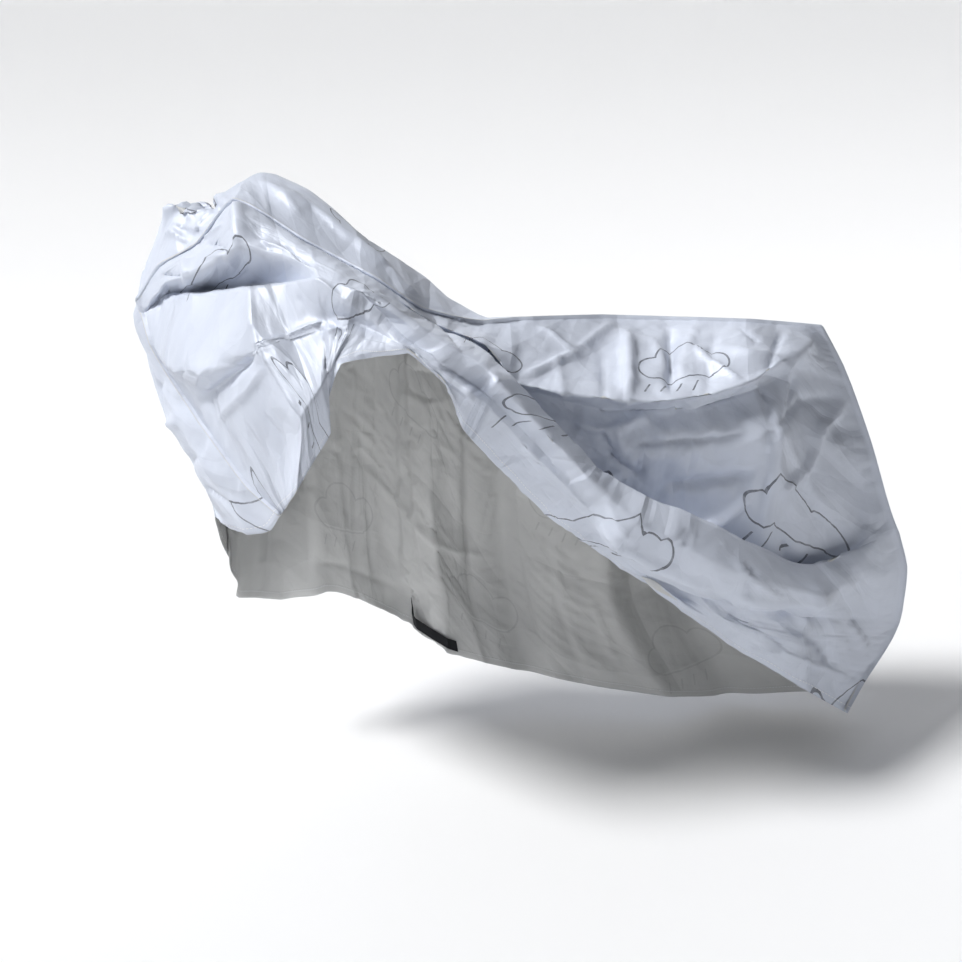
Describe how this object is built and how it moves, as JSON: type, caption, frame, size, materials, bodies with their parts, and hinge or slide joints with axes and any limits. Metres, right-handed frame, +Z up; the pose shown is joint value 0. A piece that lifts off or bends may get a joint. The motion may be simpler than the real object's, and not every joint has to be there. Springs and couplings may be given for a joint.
{
  "type": "bicycle cover",
  "caption": "Silver film bicycle cover, draped hollow as if over a cycle, with its near side pulled up, a folded rear flap and a short strap inside the hem.",
  "frame": {"origin": "inner face of the cover's top, where the saddle carries it", "axes": "+X from the nose at the handlebar to the tail, +Y towards the far side, +Z up"},
  "size_m": [1.6026, 0.7103, 1.2284],
  "materials": {
    "near_film": "silver-coated film, satin",
    "far_film": "silver-coated film, satin",
    "tape": "woven tape, matt"
  },
  "bodies": {
    "root": {"near_panel": "near_film", "far_panel": "far_film", "wind_strap": "tape"}
  },
  "joints": []
}
